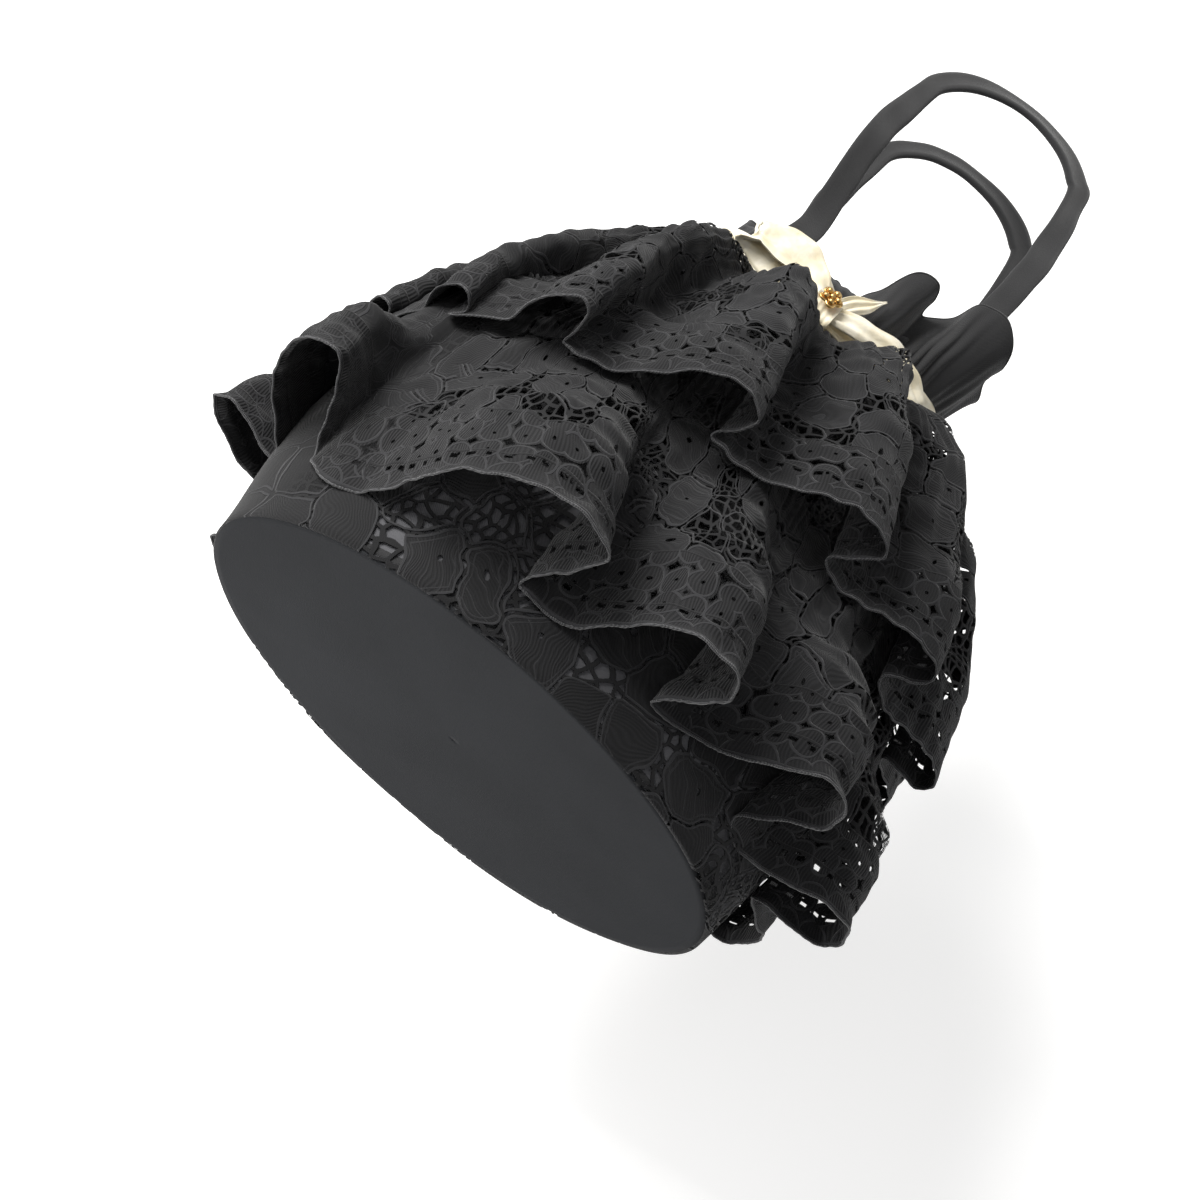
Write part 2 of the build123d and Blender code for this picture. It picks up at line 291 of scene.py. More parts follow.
# ---------------------------------------------------------------- materials
class Nodes:
    """Short hand for building one material's node tree."""

    def __init__(self, name):
        self.material = bpy.data.materials.new(name)
        self.material.use_nodes = True
        self.tree = self.material.node_tree
        self.shader = self.tree.nodes["Principled BSDF"]
        self.place = self.tree.nodes.new("ShaderNodeTexCoord").outputs["Object"]

    def link(self, source, target):
        self.tree.links.new(source, target)

    def feed(self, node, values):
        for key, value in values.items():
            socket = node.inputs[key]
            if isinstance(value, bpy.types.NodeSocket):
                self.link(value, socket)
            else:
                socket.default_value = value

    def math(self, operation, first, second=0.0, third=0.0):
        node = self.tree.nodes.new("ShaderNodeMath")
        node.operation = operation
        self.feed(node, {0: first, 1: second, 2: third})
        return node.outputs[0]

    def vector(self, operation, first, second=(0, 0, 0), scale=None):
        node = self.tree.nodes.new("ShaderNodeVectorMath")
        node.operation = operation
        self.feed(node, {0: first, 1: second})
        if scale is not None:
            self.feed(node, {"Scale": scale})
        return node.outputs["Value"] if operation in ("DOT_PRODUCT", "LENGTH") else node.outputs[0]

    def split(self, vector):
        node = self.tree.nodes.new("ShaderNodeSeparateXYZ")
        self.link(vector, node.inputs[0])
        return node.outputs

    def combine(self, x, y, z=0.0):
        node = self.tree.nodes.new("ShaderNodeCombineXYZ")
        self.feed(node, {0: x, 1: y, 2: z})
        return node.outputs[0]

    def noise(self, place, pitch, detail=2.0):
        node = self.tree.nodes.new("ShaderNodeTexNoise")
        self.feed(node, {"Vector": place, "Scale": 1 / pitch, "Detail": detail})
        return node.outputs

    def voronoi(self, place, pitch, feature="F1", randomness=1.0, flat=False):
        node = self.tree.nodes.new("ShaderNodeTexVoronoi")
        node.feature = feature
        node.voronoi_dimensions = "2D" if flat else "3D"
        self.feed(node, {"Vector": place, "Scale": 1 / pitch, "Randomness": randomness})
        return node.outputs

    def step(self, value, low, high, bottom=0.0, top=1.0):
        """A smooth step from bottom, below low, to top, above high."""
        node = self.tree.nodes.new("ShaderNodeMapRange")
        node.interpolation_type = "SMOOTHSTEP"
        self.feed(node, {"Value": value, "From Min": low, "From Max": high, "To Min": bottom, "To Max": top})
        return node.outputs[0]

    def mix(self, share, first, second):
        node = self.tree.nodes.new("ShaderNodeMix")
        node.data_type = "RGBA"
        self.feed(node, {0: share, 6: first, 7: second})
        return node.outputs[2]

    def bump(self, height, distance, strength=1.0, under=None):
        node = self.tree.nodes.new("ShaderNodeBump")
        self.feed(node, {"Height": height, "Distance": distance, "Strength": strength})
        if under is not None:
            self.link(under, node.inputs["Normal"])
        return node.outputs[0]

    def finish(self, **values):
        self.feed(self.shader, {key.replace("_", " "): value for key, value in values.items()})
        return self.material


def grey(value, tint=(1.0, 1.0, 1.08)):
    return (value * tint[0], value * tint[1], value * tint[2], 1.0)


def lace_material(name, hem_band):
    """Corded floral lace: large hatched petals with raised cord outlines, and open net between."""
    n = Nodes(name)
    cloth = n.tree.nodes.new("ShaderNodeUVMap")
    cloth.uv_map = "Cloth"
    flat = cloth.outputs[0]
    drift = n.vector("SUBTRACT", n.noise(flat, 20 * MM, 1.0)["Color"], (0.5, 0.5, 0.5))
    place = n.vector("ADD", flat, n.vector("SCALE", drift, scale=15 * MM))
    petal_pitch = 25 * MM
    petals = n.voronoi(place, petal_pitch, randomness=0.85, flat=True)
    edges = n.voronoi(place, petal_pitch, "DISTANCE_TO_EDGE", 0.85, flat=True)["Distance"]
    kind = n.split(petals["Color"])
    # a petal is a rounded cell; three cells in ten are open net instead
    inside = n.math("MINIMUM", n.math("SUBTRACT", edges, 0.045), n.math("SUBTRACT", 0.60, petals["Distance"]))
    petal = n.math("MULTIPLY", n.step(inside, -0.006, 0.006), n.step(kind[0], 0.29, 0.31))
    cord = n.step(n.math("ABSOLUTE", inside), 0.012, 0.026, 1.0, 0.0)
    second = n.step(n.math("ABSOLUTE", n.math("SUBTRACT", inside, 0.075)), 0.008, 0.018, 1.0, 0.0)
    second = n.math("MULTIPLY", second, n.math("MULTIPLY", petal, n.step(kind[2], 0.35, 0.4)))
    # the hatching fans out another way in each petal
    way = n.vector("NORMALIZE", n.vector("SUBTRACT", petals["Color"], (0.5, 0.5, 0.5)))
    hatch_at = n.math("MULTIPLY", n.vector("DOT_PRODUCT", place, way), TURN / (1.15 * MM))
    hatch = n.math("MULTIPLY_ADD", n.math("SINE", hatch_at), 0.5, 0.5)
    veins = n.math("SINE", n.math("MULTIPLY", n.vector("DOT_PRODUCT", place, way), TURN / (9.5 * MM)))
    veins = n.step(n.math("ABSOLUTE", veins), 0.06, 0.16, 1.0, 0.0)
    veins = n.math("MULTIPLY", veins, n.step(kind[1], 0.5, 0.55))
    veins = n.math("MULTIPLY", veins, petal)
    net_edge = n.voronoi(place, 5.6 * MM, "DISTANCE_TO_EDGE", 0.7, flat=True)["Distance"]
    hole = n.step(net_edge, 0.10, 0.15)
    hole = n.math("MULTIPLY", hole, n.math("SUBTRACT", 1.0, petal))
    hole = n.math("MULTIPLY", hole, n.math("SUBTRACT", 1.0, cord))
    eyelet = n.step(petals["Distance"], 0.045, 0.06, 1.0, 0.0)
    eyelet = n.math("MULTIPLY", eyelet, n.step(kind[1], 0.60, 0.65))
    hole = n.math("MAXIMUM", hole, eyelet)
    thread_part = n.math("MULTIPLY", hatch, petal)
    relief = n.math("MULTIPLY_ADD", thread_part, 0.20, n.math("MULTIPLY", petal, 0.45))
    relief = n.math("MAXIMUM", relief, n.math("MULTIPLY", n.math("MAXIMUM", veins, second), 0.95))
    relief = n.math("MAXIMUM", relief, n.math("MULTIPLY", cord, 1.35))
    shade = n.math("MAXIMUM", n.math("MULTIPLY", cord, 0.75), n.math("MULTIPLY", thread_part, 0.22))
    shade = n.math("MAXIMUM", shade, n.math("MULTIPLY", n.math("MAXIMUM", veins, second), 0.5))
    if hem_band:
        hole, relief, shade = hem_pattern(n, flat, hole, relief, shade)
    patch = n.noise(n.place, 45 * MM, 3.0)["Fac"]
    shade = n.math("ADD", shade, n.math("MULTIPLY", n.math("SUBTRACT", patch, 0.5), 0.5))
    color = n.mix(n.step(shade, -0.2, 1.0), grey(0.0085), grey(0.031))
    slant = n.math("ADD", n.split(flat)[0], n.split(flat)[1])
    weave = n.math("SINE", n.math("MULTIPLY", slant, TURN / (0.8 * MM)))
    fuzz = n.noise(n.place, 0.5 * MM, 1.0)["Fac"]
    relief = n.math("ADD", relief, n.math("MULTIPLY_ADD", weave, 0.05, n.math("MULTIPLY", fuzz, 0.2)))
    normal = n.bump(relief, 0.6 * MM, 1.0)
    # the net is closed at the left end, where the strip's layers lie close together
    hole = n.math("MULTIPLY", hole, n.step(n.split(n.place)[0], -115 * MM, -85 * MM))
    alpha = n.math("SUBTRACT", 1.0, hole)
    return n.finish(Base_Color=color, Normal=normal, Alpha=alpha, Roughness=0.84,
                    Sheen_Weight=0.12, Sheen_Roughness=0.45, Specular_IOR_Level=0.2)


def hem_pattern(n, flat, hole, relief, shade):
    """The lace's border at a hem: edge cord, ribbed band, a row of slots and two rows of eyelet petals."""
    wave = n.math("MULTIPLY", n.math("SUBTRACT", n.noise(flat, 22 * MM, 1.0)["Fac"], 0.5), 9 * MM)
    along = n.split(flat)[0]
    up = n.split(flat)[1]
    above = n.math("ADD", up, wave)
    border = n.step(above, 36 * MM, 36.6 * MM, 1.0, 0.0)
    spot = n.voronoi(n.combine(along, n.math("MULTIPLY", up, 1.1)), 12.5 * MM, randomness=0.3, flat=True)
    rim = n.math("SUBTRACT", 0.50, spot["Distance"])
    cord = n.step(n.math("ABSOLUTE", rim), 0.025, 0.055, 1.0, 0.0)
    eyelet = n.step(spot["Distance"], 0.06, 0.085, 1.0, 0.0)
    gap = n.step(rim, -0.14, -0.08, 1.0, 0.0)
    rays = n.math("MULTIPLY_ADD", n.math("SINE", n.math("MULTIPLY", along, TURN / (1.5 * MM))), 0.5, 0.5)
    slot_row = n.math("MULTIPLY", n.step(up, 9.6 * MM, 10.1 * MM), n.step(up, 11.4 * MM, 11.9 * MM, 1.0, 0.0))
    slots = n.math("SINE", n.math("MULTIPLY", along, TURN / (8.0 * MM)))
    slots = n.math("MULTIPLY", slot_row, n.step(slots, 0.1, 0.4))
    band = n.step(up, 9.2 * MM, 9.8 * MM, 1.0, 0.0)
    edge = n.step(up, 1.2 * MM, 1.9 * MM, 1.0, 0.0)
    line = n.step(n.math("ABSOLUTE", n.math("SUBTRACT", up, 12.9 * MM)), 0.3 * MM, 0.8 * MM, 1.0, 0.0)
    top_line = n.step(n.math("ABSOLUTE", n.math("SUBTRACT", above, 36 * MM)), 0.3 * MM, 0.8 * MM, 1.0, 0.0)
    open_part = n.math("MULTIPLY", n.math("MAXIMUM", eyelet, gap), n.math("SUBTRACT", 1.0, band))
    open_part = n.math("MAXIMUM", n.math("MULTIPLY", open_part, n.math("SUBTRACT", 1.0, line)), slots)
    near_relief = n.math("MAXIMUM", n.math("MULTIPLY_ADD", rays, 0.40, 0.3), n.math("MULTIPLY", cord, 1.3))
    near_relief = n.math("MAXIMUM", near_relief, n.math("MAXIMUM", n.math("MULTIPLY", edge, 1.4), line))
    near_shade = n.math("MAXIMUM", n.math("MULTIPLY", rays, 0.25), n.math("MAXIMUM", cord, edge))
    near_shade = n.math("MULTIPLY", near_shade, 0.7)

    def choose(near, far):
        """The border's own value near the hem and the open lace's value above it."""
        far_part = n.math("MULTIPLY", far, n.math("SUBTRACT", 1.0, border))
        return n.math("ADD", n.math("MULTIPLY", near, border), far_part)

    relief = n.math("MAXIMUM", choose(near_relief, relief), top_line)
    hole = n.math("MULTIPLY", choose(open_part, hole), n.math("SUBTRACT", 1.0, top_line))
    return hole, relief, choose(near_shade, shade)


def woven_material(name, dark, light, pitch, rough=0.8, sheen=0.25, relief=0.12):
    """Twill cloth: fine crossing threads, soft patches of wear and a little fluff."""
    n = Nodes(name)
    x, y, z = n.split(n.place)[0], n.split(n.place)[1], n.split(n.place)[2]
    warp_at = n.math("ADD", x, n.math("MULTIPLY", y, 0.37))
    warp = n.math("SINE", n.math("MULTIPLY", warp_at, TURN / pitch))
    weft_at = n.math("ADD", z, n.math("MULTIPLY", y, 0.61))
    weft = n.math("SINE", n.math("MULTIPLY", weft_at, TURN / pitch))
    weave = n.math("MULTIPLY_ADD", n.math("MULTIPLY", warp, weft), 0.5, 0.5)
    patch = n.noise(n.place, 38 * MM, 4.0)["Fac"]
    fluff = n.noise(n.place, 0.8 * MM, 2.0)["Fac"]
    share = n.math("ADD", n.math("MULTIPLY", weave, 0.35), n.math("MULTIPLY", patch, 0.8))
    color = n.mix(n.step(share, 0.1, 1.1), grey(dark), grey(light))
    height = n.math("ADD", weave, n.math("MULTIPLY", fluff, 1.2))
    normal = n.bump(height, relief * MM, 0.8)
    return n.finish(Base_Color=color, Normal=normal, Roughness=rough, Sheen_Weight=sheen,
                    Sheen_Roughness=0.5, Specular_IOR_Level=0.25)


def base_material():
    """Smooth bonded cloth of the base: very fine grain, faint clouds and a few specks of lint."""
    n = Nodes("base_cloth")
    cloud = n.noise(n.place, 70 * MM, 3.0)["Fac"]
    grain = n.noise(n.place, 0.6 * MM, 2.0)["Fac"]
    color = n.mix(n.step(cloud, 0.3, 0.7), grey(0.0165, (0.95, 1.0, 1.12)), grey(0.0205, (0.95, 1.0, 1.12)))
    speck = n.voronoi(n.place, 26 * MM)["Distance"]
    lint = n.step(speck, 0.012, 0.020, 1.0, 0.0)
    color = n.mix(n.math("MULTIPLY", lint, 0.5), color, grey(0.16))
    rib = n.math("SINE", n.math("MULTIPLY", n.split(n.place)[0], TURN / (0.9 * MM)))
    height = n.math("ADD", grain, n.math("MULTIPLY", rib, 0.15))
    normal = n.bump(height, 0.10 * MM, 0.6, n.bump(cloud, 1.2 * MM, 0.5))
    return n.finish(Base_Color=color, Normal=normal, Roughness=0.78, Sheen_Weight=0.03,
                    Sheen_Roughness=0.5, Specular_IOR_Level=0.10)


def satin_material():
    """Ivory satin ribbon: fine cross ribs under a soft lengthwise gloss, with painted shade: random darker,
    yellower patches that stand for the warm shade in its folds.
    """
    n = Nodes("satin")
    cloud = n.noise(n.place, 9 * MM, 2.0)["Fac"]
    # painted shade: random patches of darker, yellower colour standing for the warm shade in the ribbon's
    # folds
    color = n.mix(n.step(cloud, 0.3, 0.75), (0.80, 0.71, 0.50, 1), (0.93, 0.88, 0.74, 1))
    rib = n.math("SINE", n.math("MULTIPLY", n.split(n.place)[0], TURN / (0.5 * MM)))
    fine = n.noise(n.place, 3 * MM, 3.0)["Fac"]
    normal = n.bump(rib, 0.03 * MM, 0.5, n.bump(fine, 0.5 * MM, 0.6))
    return n.finish(Base_Color=color, Normal=normal, Roughness=0.36, Sheen_Weight=0.3,
                    Sheen_Roughness=0.3, Specular_IOR_Level=0.5, Anisotropic=0.4)


def gold_material():
    """Small gold-coloured casting, lightly tarnished in its hollows."""
    n = Nodes("gold_metal")
    spot = n.noise(n.place, 1.6 * MM, 3.0)["Fac"]
    color = n.mix(n.step(spot, 0.35, 0.7), (0.55, 0.33, 0.11, 1), (0.87, 0.62, 0.27, 1))
    rough = n.step(spot, 0.3, 0.8, 0.42, 0.24)
    normal = n.bump(spot, 0.12 * MM, 0.5)
    return n.finish(Base_Color=color, Normal=normal, Roughness=rough, Metallic=1.0)


def board_material():
    """Grey-brown bag board with short fibres."""
    n = Nodes("board")
    fibre = n.noise(n.place, 2 * MM, 5.0)["Fac"]
    color = n.mix(n.step(fibre, 0.3, 0.7), (0.20, 0.15, 0.10, 1), (0.36, 0.28, 0.19, 1))
    normal = n.bump(fibre, 0.15 * MM, 0.5)
    return n.finish(Base_Color=color, Normal=normal, Roughness=0.9)


def thread_material():
    """Black sewing thread with its twist."""
    n = Nodes("thread")
    x, y, z = n.split(n.place)[0], n.split(n.place)[1], n.split(n.place)[2]
    twist = n.math("SINE", n.math("MULTIPLY", n.math("ADD", n.math("ADD", x, y), z), TURN / (0.8 * MM)))
    color = n.mix(n.step(twist, -1.0, 1.0), grey(0.018), grey(0.05))
    normal = n.bump(twist, 0.12 * MM, 0.8)
    return n.finish(Base_Color=color, Normal=normal, Roughness=0.7, Sheen_Weight=0.3, Specular_IOR_Level=0.3)


lace_flounce = lace_material("lace_flounce", True)
lace_wall = lace_material("lace_wall", False)
backing = woven_material("backing", 0.075, 0.105, 0.7 * MM, 0.85, 0.2)
base_cloth = base_material()
plain_cloth = woven_material("plain_cloth", 0.010, 0.018, 0.75 * MM, 0.82, 0.3)
lining = woven_material("lining", 0.014, 0.022, 0.5 * MM, 0.6, 0.15)
tape_cloth = woven_material("tape_cloth", 0.012, 0.020, 0.9 * MM)
satin = satin_material()
gold = gold_material()
board = board_material()
thread = thread_material()


# ---------------------------------------------------------------- flounces
# Folds run anticlockwise from the back centre: width along the wall (mm), share of the full depth and
# lift of the hem (mm)
LOWER_FOLDS = (
    (75, 0.95, 3), (86, 1.0, 8), (80, 1.05, 30), (93, 1.1, 26), (146, 1.15, 6), (84, 1.1, 6),
    (79, 1.1, 12), (79, 1.05, 6), (89, 0.72, 16), (90, 0.85, 6), (100, 0.95, 2),
)
UPPER_FOLDS = (
    (54, 0.9, 0), (58, 1.0, 4), (50, 0.95, -3), (56, 1.0, 2), (52, 1.0, 0),
    (55, 1.05, 2), (66, 1.1, 4), (62, 1.15, 6), (54, 1.0, 0), (58, 0.9, -4),
    (50, 1.0, 3), (56, 0.95, 0), (60, 1.0, -3), (52, 0.9, 2),
)
# One fold seen from above: share of its width along the wall, and share of the depth inwards or outwards
FOLD_SHAPE = (
    (0.05, -1.0), (0.22, -0.92), (0.46, -0.35), (0.68, 0.45), (0.88, 0.94),
    (1.07, 1.0), (1.18, 0.66), (1.12, 0.1), (0.99, -0.6),
)

FINE_STEPS = 6000


def smooth_loop(line, spread):
    """Smooths a closed line of values with a bell curve that is spread samples wide."""
    waves = np.fft.rfftfreq(len(line)) * len(line)
    bell = np.exp(-0.5 * (TURN * waves * spread / len(line)) ** 2)
    return np.fft.irfft(np.fft.rfft(line) * bell, len(line))


def fold_line(folds, depth, around, columns, softness):
    """The hem's line seen from above, evenly spaced on the cloth: place along the wall, swing and lift."""
    widths = np.array([fold[0] for fold in folds], float)
    starts = np.concatenate([[0], np.cumsum(widths)]) / widths.sum() * around
    place = []
    swing = []
    lift = []
    for index, (_, size, rise) in enumerate(folds):
        width = starts[index + 1] - starts[index]
        for along, out in FOLD_SHAPE:
            place.append(starts[index] + along * width)
            swing.append(out * size * depth)
            lift.append(rise * MM)
    place.append(place[0] + around)
    swing.append(swing[0])
    lift.append(lift[0])
    steps = np.hypot(np.diff(place), np.diff(swing))
    along = np.concatenate([[0], np.cumsum(steps)])
    fine = np.linspace(0, along[-1], FINE_STEPS, endpoint=False)
    spread = softness / along[-1] * FINE_STEPS
    even = fine / along[-1] * around
    place = even + smooth_loop(np.interp(fine, along, place) - even, spread)
    swing = smooth_loop(np.interp(fine, along, swing), spread)
    lift = smooth_loop(np.interp(fine, along, lift), spread * 4)
    steps = np.hypot(np.diff(np.append(place, place[0] + around)), np.diff(np.append(swing, swing[0])))
    along = np.concatenate([[0], np.cumsum(steps)])
    want = np.linspace(0, along[-1], columns, endpoint=False)
    place = np.interp(want, along, np.append(place, place[0] + around))
    swing = np.interp(want, along, np.append(swing, swing[0]))
    return place / around, swing, np.interp(want, along, np.append(lift, lift[0]))


def slant_rows(size, low, high, count):
    """Heights from high down to low that cut a skin's side into equal lengths."""
    fine = np.linspace(high, low, 400)
    half_length, _ = size(fine)
    steps = np.hypot(np.diff(fine), np.diff(half_length))
    along = np.concatenate([[0], np.cumsum(steps)])
    return np.interp(np.linspace(0, along[-1], count), along, fine)


def flounce_points(outer, inner, low, high, folds, depth, seed, rows, columns, sink):
    """Points of a gathered strip: finely gathered at its seam, with deep leaning folds towards its hem."""
    around = oval_length(*outer((low * 2 + high) / 3))
    hem_place, swing, lift = fold_line(folds, depth, around, columns, 3.6 * MM)
    even_place = np.arange(columns) / columns
    drift = hem_place - even_place
    reach = 0.36 if sink else 0.20
    fine_gather = wander(columns, seed, 150)
    mid_gather = wander(columns, seed + 1, 46)
    tuck = np.sin(TURN * np.cumsum(1 + 0.35 * wander(columns, seed + 2, 60)) * 130 / columns)
    heights = slant_rows(outer, low, high, rows)
    points = np.empty((rows, columns, 3))
    for row, height in enumerate(heights):
        share = row / (rows - 1)
        grow = share**0.6
        half_length, half_width = outer(height)
        angles = turn_at(even_place + drift * share**1.25, half_length, half_width)
        ring, normal = oval_ring(half_length, half_width, angles)
        under_length, under_width = inner(height)
        room = (half_length - under_length + half_width - under_width) / 2
        out = (swing / depth - 1) * min(depth * grow, room * 0.56)
        if sink:
            # the upper strip's seam is pulled down tight, so the ribbon above it shows
            out -= 4 * MM * np.exp(-((share / 0.16) ** 2)) * smooth_step(-np.sin(angles), 0.1, 0.8)
        out += (fine_gather * 1.1 + tuck * 1.9) * MM * np.exp(-((share / reach) ** 2))
        out += mid_gather * 2.6 * MM * np.exp(-(((share - 0.24) / 0.20) ** 2))
        # the left shoulder has sunk in, so the upper strip lies closer there
        out -= sink * smooth_step(-np.cos(angles), 0.3, 0.9) * smooth_step(share, 0.05, 0.45)
        over = out + room
        out = np.where(over > 2 * MM, over, 2 * MM * np.exp(np.minimum(over / (2 * MM) - 1, 0))) - room
        points[row, :, :2] = ring + normal * out[:, None]
        points[row, :, 2] = height + (lift + swing * 0.22) * share**2
    return points


def flounce(name, node, outer, inner, low, high, folds, depth, seed, rows, columns, sink=0.0):
    """One lace flounce with its corded hem."""
    points = flounce_points(outer, inner, low, high, folds, depth, seed, rows, columns, sink)
    rough = ripple(ripple(points, seed + 5, 40 * MM, 2.3 * MM), seed + 6, 13 * MM, 1.0 * MM)
    share = np.linspace(0, 1, rows)[:, None, None]
    points = settle(points + (rough - points) * np.minimum(1, share * 3))
    uv = cloth_uv(points)
    piece = grid_mesh(name, points, lace_flounce, uv=uv, thickness=0.5 * MM)
    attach(piece, "bag")
    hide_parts(node)
    knots = 0.5 * MM * (1 + 0.2 * np.sin(np.arange(columns) * 1.9))
    cord = tube_mesh(name + "_hem_cord", points[-1], knots, thread, sides=6)
    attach(cord, "bag")
    return piece


def hugging_size(height):
    """Outer size of the lower flounce: close to the body at its top, then swelling out to its hem."""
    length, width = lower_size(height)
    length, width = length + 4 * MM, width + 4 * MM
    body_length, body_width = body_size(height)
    stand = 5 * MM + 3 * MM * smooth_step(lower_high.z - height, 0, 40 * MM)
    share = smooth_step(height, upper_low.z - 34 * MM, upper_low.z + 10 * MM)
    return length + (body_length + stand - length) * share, width + (body_width + stand - width) * share


def wide_size(height):
    """Outer size of the upper flounce; its crests stand further out than its plain skin at the hem."""
    length, width = upper_size(height)
    spread = 5 * MM * smooth_step(upper_high.z - height, 70 * MM, 150 * MM)
    return length + spread, width + spread


def wall_limit(height):
    """Nearest that the lower flounce comes to the wall."""
    length, width = body_size(height)
    return length + 1 * MM, width + 1 * MM


def tier_limit(height):
    """Nearest that the upper flounce comes to the wall, or to the lower flounce where that is under it."""
    length, width = body_size(height)
    stand = 2 * MM + 9 * MM * smooth_step(lower_high.z + 12 * MM - height, 0, 24 * MM)
    return length + stand, width + stand


flounce("lower_flounce", "lower_ruffle", hugging_size, wall_limit, lower_low.z + 8 * MM, lower_high.z,
        LOWER_FOLDS, 28 * MM, 11, 74, 1150)
flounce("upper_flounce", "upper_ruffle", wide_size, tier_limit, upper_low.z + 14 * MM, upper_high.z,
        UPPER_FOLDS, 20 * MM, 23, 86, 1080, 14 * MM)


# ---------------------------------------------------------------- body wall, lining and base
def wall_points(size, low, high, rows, columns, inset, gather, seed):
    """Points of an oval wall whose cloth is gathered in soft upright folds towards the neck."""
    folds = wander(columns, seed, 60)
    points = np.empty((rows, columns, 3))
    for row, height in enumerate(np.linspace(low, high, rows)):
        half_length, half_width = size(height)
        angles = even_angles(half_length, half_width, columns)
        ring, normal = oval_ring(half_length - inset, half_width - inset, angles)
        share = np.clip((height - low) / (neck_height - low), 0, 1)
        points[row, :, :2] = ring + normal * (folds * gather * share**2.5)[:, None]
        points[row, :, 2] = height
    return points


def finish_cloth(piece, nodes):
    """Attaches a sheet of cloth to the bag and hides the CAD parts that it replaces."""
    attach(piece, "bag")
    if nodes:
        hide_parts(*nodes)
    return piece


def body_lace_wall():
    """The lace outside of the body; its lower edge turns under the rim of the base."""
    points = wall_points(body_size, base_high.z, neck_height, 90, 520, 0.2 * MM, 1.0 * MM, 3)
    points = ripple(points, 31, 55 * MM, 1.1 * MM)
    rim = points[:1].copy()
    rim[..., 2] = base_low.z + 0.3 * MM
    turned = rim.copy()
    turned[..., :2] *= 1 - 3 * MM / base_high.x
    points = settle(np.concatenate([turned, rim, points[1:]]))[::-1]
    uv = cloth_uv(points)
    piece = grid_mesh("body_lace_wall", points, lace_wall, uv=uv, thickness=0.5 * MM)
    return finish_cloth(piece, ["body_lace"])


def inner_wall(name, node, material, inset, low, high, seed):
    """A plain layer of the body wall inside the lace."""
    points = wall_points(body_size, low, high, 70, 360, inset, 0.8 * MM, seed)
    points = settle(ripple(points, seed + 1, 60 * MM, 0.5 * MM))[::-1]
    piece = grid_mesh(name, points, material, thickness=0.5 * MM)
    return finish_cloth(piece, [node])


def oval_disc(name, half_length, half_width, height, material, thickness, wave=0.0, seed=0, face_up=True):
    """A flat oval sheet with faint unevenness; its thickness is added away from its face."""
    rings = 40
    angles = np.linspace(0, TURN, 240, endpoint=False)
    share = np.linspace(1, 0.002, rings)[:, None]
    points = np.empty((rings, len(angles), 3))
    points[..., 0] = half_length * share * np.cos(angles)
    points[..., 1] = half_width * share * np.sin(angles)
    points[..., 2] = height
    if wave:
        bump = (ripple(points, seed, 80 * MM, wave) - points)[..., 2]
        points[..., 2] += abs(bump) * (1 - share**6) * (-1 if face_up else 1)
    if not face_up:
        points = points[:, ::-1]
    return grid_mesh(name, points, material, thickness=thickness, offset=-1.0)


def base_parts():
    """The base panel, its piped edge, the board inside and the cloth floor."""
    half_length = base_high.x
    half_width = base_high.y
    panel = oval_disc("base_panel", half_length - 1.0 * MM, half_width - 1.0 * MM, base_low.z, base_cloth,
                      0.8 * MM, wave=0.5 * MM, seed=8, face_up=False)
    angles = even_angles(half_length, half_width, 420)
    ring, normal = oval_ring(half_length, half_width, angles)
    path = np.empty((420, 3))
    path[:, :2] = ring - normal * 1.4 * MM
    path[:, 2] = base_low.z + 0.9 * MM
    edge = tube_mesh("base_edge_fold", path, 0.85 * MM, base_cloth, sides=10)
    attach(edge, "bag")
    finish_cloth(panel, ["base_cover"])
    _, floor_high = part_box("lining_floor")
    floor = oval_disc("floor_cloth", floor_high.x, floor_high.y, floor_high.z, lining, 0.6 * MM,
                      wave=0.4 * MM, seed=9)
    finish_cloth(floor, ["lining_floor"])
    board_low, board_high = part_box("base_board")
    stiff = oval_disc("base_stiffener", board_high.x, board_high.y, board_high.z, board,
                      board_high.z - board_low.z)
    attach(stiff, "bag")
    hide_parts("base_board")


def tape_band(name, node, material):
    """A band of woven tape where the CAD band lies."""
    low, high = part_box(node)
    points = np.empty((6, 300, 3))
    nodes = np.array([v.co for v in frame["nodes"][node].data.vertices])
    for row, height in enumerate(np.linspace(high.z, low.z, 6)):
        near = nodes[abs(nodes[:, 2] - np.clip(height, low.z, high.z)) < 8 * MM]
        half_length = near[:, 0].max()
        half_width = near[:, 1].max()
        angles = even_angles(half_length, half_width, 300)
        points[row, :, :2], _ = oval_ring(half_length - 0.4 * MM, half_width - 0.4 * MM, angles)
        points[row, :, 2] = height
    points = settle(points)
    piece = grid_mesh(name, points, material, thickness=0.7 * MM)
    return finish_cloth(piece, [node])


body_lace_wall()
inner_wall("body_backing_cloth", "body_backing", backing, 1.5 * MM, base_low.z + 1.3 * MM,
           neck_height, 5)
lining_low, lining_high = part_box("body_lining")
inner_wall("body_lining_cloth", "body_lining", lining, 2.6 * MM, lining_low.z,
           lining_high.z, 6)
base_parts()
tape_band("base_seam_binding", "base_seam_tape", tape_cloth)
tape_band("lower_gathering_tape", "lower_gather_tape", tape_cloth)
tape_band("upper_gathering_tape", "upper_gather_tape", tape_cloth)


